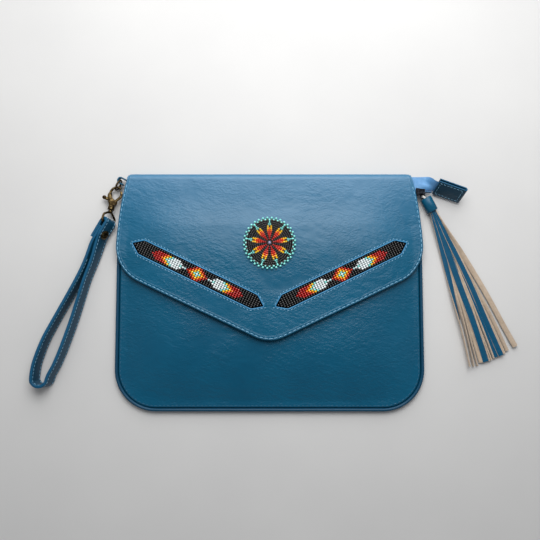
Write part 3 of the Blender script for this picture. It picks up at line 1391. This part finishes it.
lining = (LINING_CLOTH, LINING)
tape = (ZIP_TAPE, TAPE)
rows = body_rows(LINING_INSET, LINING_TOP, 0.006)
cloth("back_lining", "bag", rows, 0.05, lining_half_width, on_back, lining, "lining_back")
rows = body_rows(LINING_INSET, Y_MOUTH - 0.0063, 0.006)
width = lining_half_width
cloth("front_lining", "bag", rows, 0.04, width, under_front, lining, "lining_front")
rows = flap_rows(FLAP_LINING_INSET, LINING_TOP, 0.004)
width = flap_lining_half_width
cloth("flap_cloth", "flap", rows, 0.03, width, under_flap, lining, "flap_lining")
rows = spread(Y_MOUTH - 0.0060, Y_CHAIN - 0.0006, 0.0012)
cloth("front_tape", "bag", rows, 0.02, zip_half_width, tape_floor, tape, "zip_tape_front")
bm = slab([Y_CHAIN_BACK + 0.0004, LINING_TOP], spread(-1.0, 1.0, 0.05), zip_half_width, TAPE)
bmesh.ops.translate(bm, verts=bm.verts, vec=UP * BACK_TAPE_LEVEL)
piece("back_tape", "bag", bm, ZIP_TAPE, sharp=60, instead_of=["zip_tape_back"])

# %% Zip tail
TAIL_LEVEL = 0.0059
TAIL_START = half_side(Y_CHAIN) - 0.0102
TAIL_END = TAIL_START + 0.0290
TAIL_IN_TAB = 0.0112
SLIDER_END = half_side(Y_CHAIN) + 0.0052 + 0.0040
TAIL_WIDTH = 0.0118
TAIL_TWIST = radians(58)
TAIL_SLOPE = tan(radians(-20))
TAB_ALONG = Vector((1.0, TAIL_SLOPE, 0.0)).normalized()


def tail_share(x):
    return ease(clamp((x - SLIDER_END) / (TAIL_END - SLIDER_END)))


def tail_edge_level(x):
    """Height of the tape's edge beside the teeth; it sinks to let the tab rest on the table."""
    rest = 0.0025 * sin(TAIL_TWIST) + 0.0021 * cos(TAIL_TWIST) + GAP
    return TAIL_LEVEL + (rest - TAIL_LEVEL) * tail_share(x)


def tail_place(x, across_run, up_run=0.0):
    """A place on the tail: across the tape from the teeth, and above its face."""
    bend_x = min(x, TAIL_END)
    twist = TAIL_TWIST * tail_share(bend_x)
    near = Vector((bend_x, Y_CHAIN + 0.0014, tail_edge_level(bend_x)))
    across = Vector((0.0, cos(twist), sin(twist)))
    up = Vector((0.0, -sin(twist), cos(twist)))
    return near + across * across_run + up * up_run + Vector((x - bend_x, (x - bend_x) * TAIL_SLOPE, 0.0))


stations = spread(TAIL_START, TAIL_END, 0.0008) + spread(TAIL_END, TAIL_END + TAIL_IN_TAB, 0.0016)[1:]
bm = bmesh.new()
bmesh.ops.create_grid(bm, x_segments=len(stations) - 1, y_segments=12, size=1.0)
for vertex in bm.verts:
    x = stations[round((vertex.co.x + 1) / 2 * (len(stations) - 1))]
    share = (vertex.co.y + 1) / 2
    free = clamp((x - SLIDER_END + 0.006) / 0.006) * clamp((TAIL_END - x) / 0.006)
    camber = free * (0.0007 * sin(pi * share) + 0.00035 * sin(3.1 * pi * share + 260 * (x - TAIL_START)))
    vertex.co = tail_place(x, share * TAIL_WIDTH, camber)
tail_area = sum(face.calc_area() for face in bm.faces)
bmesh.ops.solidify(bm, geom=bm.faces[:], thickness=TAPE)
tail_tape = piece("tail_tape", "bag", bm, ZIP_TAPE, sharp=60, instead_of=["zip_tail_tape"])

# %% Teeth
bm = bmesh.new()
for size, y in (((0.00082, 0.00105, 0.0019), -0.00026), ((0.00050, 0.00075, 0.0011), 0.00042)):
    matrix = Matrix.Translation((0, y, 0)) @ Matrix.Diagonal((*size, 1.0))
    made = bmesh.ops.create_cube(bm, size=1.0, matrix=matrix)
    edges = list({edge for vertex in made["verts"] for edge in vertex.link_edges})
    bmesh.ops.bevel(bm, geom=edges, offset=0.00016, segments=1, profile=0.5, affect="EDGES", material=-1)
TOOTH = to_mesh("tooth", bm)
TOOTH_PITCH = 0.00145
ZIP_END = ZIP_HALF - 0.0005


def tooth_row(word, start, end, place_at, nose):
    """Teeth from start to end on the cord of their tape; nose is the way in y that they point."""
    placements = []
    for x in spread(start, end, TOOTH_PITCH):
        here = place_at(x)
        turn = frame_at(here, place_at(x + 0.0005) - here)
        placements.append((turn @ Matrix.Diagonal((nose, nose, 1.0, 1.0)), 0))
    bm = bmesh.new()
    tube(bm, [place_at(x) - Vector((0, 0.0006 * nose, 0)) for x in spread(start, end, 0.004)], 0.00042, 8)
    piece(f"{word}_teeth_cord", "bag", bm, ZIP_TAPE, sharp=60)
    repeated(f"{word}_teeth", "bag", TOOTH, placements, TEETH, instead_of=[f"zip_chain_{word}"])
    print(word, len(placements), "teeth")


def on_front(x):
    return Vector((x, Y_CHAIN, tape_floor(x, Y_CHAIN) + 0.0010))


def behind(x):
    return Vector((x, Y_CHAIN_BACK, BACK_TAPE_LEVEL + 0.0010))


def on_tail(x):
    return Vector((x, Y_CHAIN, tail_edge_level(x)))


tooth_row("front", -ZIP_END, TAIL_START - 0.0009, on_front, 1)
tooth_row("back", -ZIP_END, ZIP_END, behind, -1)
tooth_row("tail", TAIL_START + 0.0005, TAIL_END - 0.0036, on_tail, -1)

# %% End tab
# Suede side of the hide: tan, dull and napped
NAP = dict(relief=(2200.0, 3.0, 0.00025, 0.8), rough=0.7, Roughness=0.95, Sheen_Weight=0.4)
SUEDE = mottled("tan_suede", "#8F7B67", "#CDBBA6", 260.0, 6.0, **NAP, Sheen_Roughness=0.5)
# The tab's dark hide
TAB_HIDE = leather("ink_hide", "#052C3F", "#0D4056", creases=0.6)

TAB_LENGTH = 0.0250
TAB_WIDTH = 0.0168
TAB_BEND = 0.0015
TAB_TURNS = 12
# How far its stitches stay from the mouth, the bend and the sides, and how far they are from its middle
SEAM_IN, SEAM_OUT, SEAM_SIDE, SEAM_LEVEL = 0.0018, 0.0034, 0.0019, 0.00215
bend_at = TAB_LENGTH - 0.0021
tab_middle = tail_place(TAIL_END, TAIL_WIDTH / 2)
tab_across = Vector((0.0, cos(TAIL_TWIST), sin(TAIL_TWIST)))
tab_across = (tab_across - TAB_ALONG * tab_across.dot(TAB_ALONG)).normalized()
tab_normal = TAB_ALONG.cross(tab_across)
# Out on the upper side, round the bend and back below
stops = [(run, 0) for run in spread(0.0, bend_at, 0.0015)[:-1]]
stops += [(bend_at, step) for step in range(TAB_TURNS + 1)]
stops += [(run, TAB_TURNS) for run in spread(bend_at, 0.0, 0.0015)[1:]]
tab_places = []
for run, step in stops:
    turn = pi / 2 - pi * step / TAB_TURNS
    outward = TAB_ALONG * cos(turn) + tab_normal * sin(turn)
    tab_places.append((tab_middle + TAB_ALONG * run + outward * TAB_BEND, tab_across, outward))
bm = bmesh.new()
ribbon(bm, tab_places, rounded_section(TAB_WIDTH, 0.0012, 0.0004, 3), 0, 1, 2)
piece("end_tab", "bag", bm, TAB_HIDE, TAB_HIDE, EDGE_PAINT, sharp=60, instead_of=["zip_end_tab"])
for word, face in (("front", 1), ("back", -1)):
    far = TAB_LENGTH - SEAM_OUT
    corners = ((SEAM_IN, -1), (SEAM_IN, 1), (far, 1), (far, -1), (SEAM_IN, -1))
    seam = []
    for (a0, c0), (a1, c1) in zip(corners, corners[1:]):
        for step in range(8):
            share = step / 8
            wide = (c0 + (c1 - c0) * share) * (TAB_WIDTH / 2 - SEAM_SIDE)
            along = TAB_ALONG * (a0 + (a1 - a0) * share)
            seam.append(tab_middle + along + tab_across * wide + tab_normal * face * SEAM_LEVEL)
    stitches(f"tab_seam_{word}", "bag", seam + seam[:1], TAB_STITCH)
print("end tab folded over the tape")

# %% [markdown]
# ## Tassel
# A strip of hide was cut into a fringe, rolled up on itself and slipped into a leather cuff. Its strips
# fall flat on the table and fan out. Each is smooth and blue on one side and napped tan on the other, so
# the list below gives each strip's end, its width, how far it has rolled over at the cuff and at the end,
# and its level in the pile. The cross-section turns from the first angle to the second on its way down.

# %% Thong and cuff
CUFF_START = Vector((0.1371, 0.0818, 0.0050))
cuff_along = Vector((cos(radians(-63)), sin(radians(-63)), 0.0))
cuff_side = Vector((-cuff_along.y, cuff_along.x, 0.0))
lug = Vector((half_side(Y_CHAIN) + 0.0074, Y_CHAIN - 0.0066 * 0.36 - 0.0018, TAIL_LEVEL))
thong_end = CUFF_START + cuff_along * 0.0024
thong_away = Vector((thong_end.x - lug.x, thong_end.y - lug.y, 0.0))
distance = thong_away.length
thong_away.normalize()
thong_across = Vector((-thong_away.y, thong_away.x, 0.0))
drop = thong_end.z - TAIL_LEVEL
# From the cuff over the lug and back under it: distance from the lug, height there, and side of the middle
upper = [(distance, drop, 0.00055), (distance * 0.80, drop * 0.8, 0.0008), (distance * 0.56, 0.0, 0.0013)]
upper += [(0.0004, 0.0, 0.0013), (0.0, 0.0, 0.0009)]
lower = [(run, height, -side) for run, height, side in reversed(upper)]
thong_line = [lug + thong_away * run + UP * (height + side) for run, height, side in upper + lower]
thong_line = smooth_line(thong_line, 4)
thong_places = []
for index, point in enumerate(thong_line):
    thong_places.append((point, thong_across, heading(thong_line, index).cross(thong_across)))
bm = bmesh.new()
ribbon(bm, thong_places, rounded_section(0.0020, 0.0008, 0.00025))
# Undyed thong, almost white
THONG_HIDE = leather("undyed_thong", "#A9A6A2", "#D2D0CC", creases=0.3, gloss=0.7)
piece("undyed_pull", "tassel", bm, THONG_HIDE, sharp=60, instead_of=["pull_thong"])

bm = bmesh.new()
wall = mm((3.6, 0), (4, -0.05), (4.4, 0.1), (4.7, 0.5), (4.7, 12.5), (4.4, 12.9), (4, 13.05))
spun(bm, wall + mm((3.6, 13), (3.6, 0)), 56)
# The leather's end lies over its start
OVERLAP = radians(95)
for vertex in bm.verts:
    turn = (atan2(vertex.co.y, vertex.co.x) + radians(250)) % (2 * pi)
    if hypot(vertex.co.x, vertex.co.y) > 0.0038 and turn < OVERLAP:
        lift = 1 + 0.075 * clamp(turn / radians(80)) * clamp((OVERLAP - turn) / radians(4))
        vertex.co.x *= lift
        vertex.co.y *= lift
bmesh.ops.transform(bm, matrix=axes(cuff_side, UP, cuff_along, CUFF_START), verts=bm.verts)
piece("cuff", "tassel", bm, BODY_HIDE, sharp=50, instead_of=["tassel_cuff"])
print("thong", in_mm(length_of(thong_line)), "mm and cuff")

# %% Fringe
FRINGE = (
    (172.4, -64.8, 4.8, 0, 80, 2.4),
    (176.0, -64.6, 3.4, 180, 100, 0.5),
    (179.4, -64.2, 2.8, 180, 100, 0.3),
    (182.4, -61.4, 3.2, 180, 172, 0.9),
    (186.6, -60.6, 5.8, 0, 4, 3.0),
    (190.0, -59.9, 2.6, 180, 96, 0.6),
    (191.4, -59.0, 2.6, 175, 92, 0.0),
    (193.4, -57.8, 2.8, 170, 98, 1.5),
    (196.2, -56.6, 4.6, 0, 8, 2.0),
    (199.8, -55.2, 5.0, 12, -4, 2.7),
    (202.8, -53.8, 3.2, 180, 172, 1.0),
    (205.8, -51.2, 3.0, 150, 160, 0.2),
    (212.6, -47.6, 4.6, 110, 180, 1.8),
)
FRINGE_LEATHER = 0.0011
FRINGE_STEPS = 36
# A strip starts to turn at this share of its length, the last one sooner, and turns over half of it
TURN_START, LAST_TURN_START, TURN_RUN = 0.34, 0.04, 0.50
# Blue grain side of the fringe
FRINGE_HIDE = leather("teal_hide_fringe", "#003F5C", "#015579", creases=0.5, gloss=0.40)
fringe_root = CUFF_START + cuff_along * 0.0120
bm = bmesh.new()
tube(bm, [CUFF_START + cuff_along * run for run in (0.0037, 0.0100, 0.0122)], [0.0033, 0.0033, 0.0030], 18)
for face in bm.faces:
    face.material_index = 1
for index, (x, y, width, first_roll, last_roll, level) in enumerate(FRINGE):
    share = index / (len(FRINGE) - 1) * 2 - 1
    first = fringe_root + cuff_side * share * 0.0017 + UP * ((level - 1.5) * 0.0011)
    last = Vector((x / 1000, y / 1000, GAP))
    run = Vector((last.x - first.x, last.y - first.y, 0.0))
    sideways = Vector((-run.y, run.x, 0.0)).normalized()
    starts = LAST_TURN_START if index == len(FRINGE) - 1 else TURN_START
    points = []
    rolls = []
    for step in range(FRINGE_STEPS + 1):
        t = step / FRINGE_STEPS
        turned = ease(clamp((t - starts) / TURN_RUN))
        rolls.append(radians(first_roll + (last_roll - first_roll) * turned))
        flat, upright = abs(cos(rolls[-1])), abs(sin(rolls[-1]))
        rest = GAP + flat * (FRINGE_LEATHER / 2 + level * 0.0004) + upright * width / 2000
        point = first.lerp(last, t)
        point += sideways * (0.0018 + 0.0005 * sin(7.0 * t + index * 1.9)) * 4 * t * (1 - t)
        settled = max(0.0, 1 - t / TURN_RUN) ** 2
        point.z = rest + (first.z - rest) * settled + 0.0006 * clamp(t - 0.9) * 10 * (index % 3 == 0)
        points.append(point)
    places = []
    for step, point in enumerate(points):
        along = heading(points, step)
        flat_side = Vector((along.y, -along.x, 0.0)).normalized()
        up = flat_side.cross(along)
        across = flat_side * cos(rolls[step]) + up * sin(rolls[step])
        normal = up * cos(rolls[step]) - flat_side * sin(rolls[step])
        places.append((point, across * (0.5 + 0.5 * clamp(step / 10)), normal))
    ribbon(bm, places, rounded_section(width / 1000, FRINGE_LEATHER, 0.0003, 1), 0, 1, 2)
piece("fringe", "tassel", bm, FRINGE_HIDE, SUEDE, SUEDE, sharp=55, instead_of=["tassel_fringe"])
print("fringe of", len(FRINGE), "strips")
